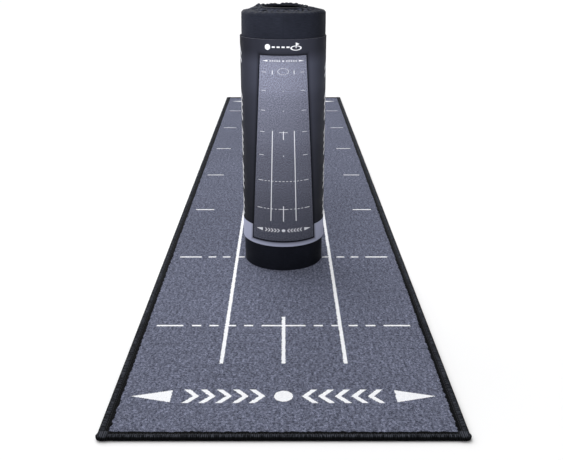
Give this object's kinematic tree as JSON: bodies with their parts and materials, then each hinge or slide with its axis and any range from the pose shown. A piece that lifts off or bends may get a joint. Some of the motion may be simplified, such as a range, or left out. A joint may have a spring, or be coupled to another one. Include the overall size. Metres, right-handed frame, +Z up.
{
  "type": "putting mat",
  "caption": "Flat rectangular practice putting mat with printed distance and aiming marks, black bound edges, and a standing round storage bag in a card sleeve.",
  "frame": {"origin": "on the floor, at the centre of the flat mat's footprint", "axes": "+Z up out of the playing surface, +Y along the mat from the player's end to the far end, +X across the mat"},
  "size_m": [0.5, 2.4, 0.5163],
  "materials": {
    "pile": "short printed pile",
    "rubber_backing": "matt",
    "binding_tape": "woven tape",
    "bag_fabric": "smooth woven nylon",
    "elastic": "braided",
    "printed_card": "satin printed card",
    "glue": "dry adhesive film"
  },
  "bodies": {
    "mat": {"mat_pile": "pile", "mat_backing": "rubber_backing", "mat_binding_near": "binding_tape", "mat_binding_left": "binding_tape", "mat_binding_right": "binding_tape"},
    "strip_1": {"strip_1_pile": "pile", "strip_1_backing": "rubber_backing", "strip_1_binding_left": "binding_tape", "strip_1_binding_right": "binding_tape"},
    "strip_2": {"strip_2_pile": "pile", "strip_2_backing": "rubber_backing", "strip_2_binding_left": "binding_tape", "strip_2_binding_right": "binding_tape"},
    "strip_3": {"strip_3_pile": "pile", "strip_3_backing": "rubber_backing", "strip_3_binding_left": "binding_tape", "strip_3_binding_right": "binding_tape"},
    "strip_4": {"strip_4_pile": "pile", "strip_4_backing": "rubber_backing", "strip_4_binding_left": "binding_tape", "strip_4_binding_right": "binding_tape"},
    "strip_5": {"strip_5_pile": "pile", "strip_5_backing": "rubber_backing", "strip_5_binding_left": "binding_tape", "strip_5_binding_right": "binding_tape"},
    "strip_6": {"strip_6_pile": "pile", "strip_6_backing": "rubber_backing", "strip_6_binding_left": "binding_tape", "strip_6_binding_right": "binding_tape"},
    "strip_7": {"strip_7_pile": "pile", "strip_7_backing": "rubber_backing", "strip_7_binding_left": "binding_tape", "strip_7_binding_right": "binding_tape", "mat_binding_far": "binding_tape"},
    "bag": {"bag_base": "bag_fabric", "bag_base_piping": "bag_fabric", "bag_wall": "bag_fabric", "bag_side_seam": "bag_fabric", "bag_collar": "bag_fabric", "bag_mouth_hem": "bag_fabric", "bag_mouth_elastic": "elastic"},
    "sleeve": {"sleeve_card": "printed_card", "sleeve_glue": "glue", "sleeve_lap": "printed_card"},
    "roll": {"roll_pile": "pile", "roll_backing": "rubber_backing", "roll_binding_top": "binding_tape", "roll_binding_bottom": "binding_tape", "roll_binding_inner": "binding_tape", "roll_binding_outer": "binding_tape"}
  },
  "joints": [
    {"name": "mat_curl", "type": "hinge", "parent": "mat", "child": "strip_1", "pos_m": [0, 0.78, 0.0052], "axis": [1, 0, 0], "range_deg": [0, 43]},
    {"name": "mat_curl_2", "type": "hinge", "parent": "strip_1", "child": "strip_2", "pos_m": [0, 0.84, 0.0052], "axis": [1, 0, 0], "range_deg": [0, 43]},
    {"name": "mat_curl_3", "type": "hinge", "parent": "strip_2", "child": "strip_3", "pos_m": [0, 0.9, 0.0052], "axis": [1, 0, 0], "range_deg": [0, 43]},
    {"name": "mat_curl_4", "type": "hinge", "parent": "strip_3", "child": "strip_4", "pos_m": [0, 0.96, 0.0052], "axis": [1, 0, 0], "range_deg": [0, 43]},
    {"name": "mat_curl_5", "type": "hinge", "parent": "strip_4", "child": "strip_5", "pos_m": [0, 1.02, 0.0052], "axis": [1, 0, 0], "range_deg": [0, 43]},
    {"name": "mat_curl_6", "type": "hinge", "parent": "strip_5", "child": "strip_6", "pos_m": [0, 1.08, 0.0052], "axis": [1, 0, 0], "range_deg": [0, 43]},
    {"name": "mat_curl_7", "type": "hinge", "parent": "strip_6", "child": "strip_7", "pos_m": [0, 1.14, 0.0052], "axis": [1, 0, 0], "range_deg": [0, 43]},
    {"name": "bag_lift", "type": "slide", "parent": "mat", "child": "bag", "axis": [0, 0, 1], "range_m": [0, 0.25]},
    {"name": "sleeve_slide", "type": "slide", "parent": "bag", "child": "sleeve", "axis": [0, 0, 1], "range_m": [-0.045, 0.47]},
    {"name": "roll_slide", "type": "slide", "parent": "bag", "child": "roll", "axis": [0, 0, 1], "range_m": [0, 0.52], "deforming": ["bag_collar", "bag_mouth_hem", "bag_mouth_elastic"]}
  ],
  "couplings": [
    {"joint": "mat_curl_2", "follows": "mat_curl", "ratio": 1},
    {"joint": "mat_curl_3", "follows": "mat_curl", "ratio": 1},
    {"joint": "mat_curl_4", "follows": "mat_curl", "ratio": 1},
    {"joint": "mat_curl_5", "follows": "mat_curl", "ratio": 1},
    {"joint": "mat_curl_6", "follows": "mat_curl", "ratio": 1},
    {"joint": "mat_curl_7", "follows": "mat_curl", "ratio": 1}
  ]
}
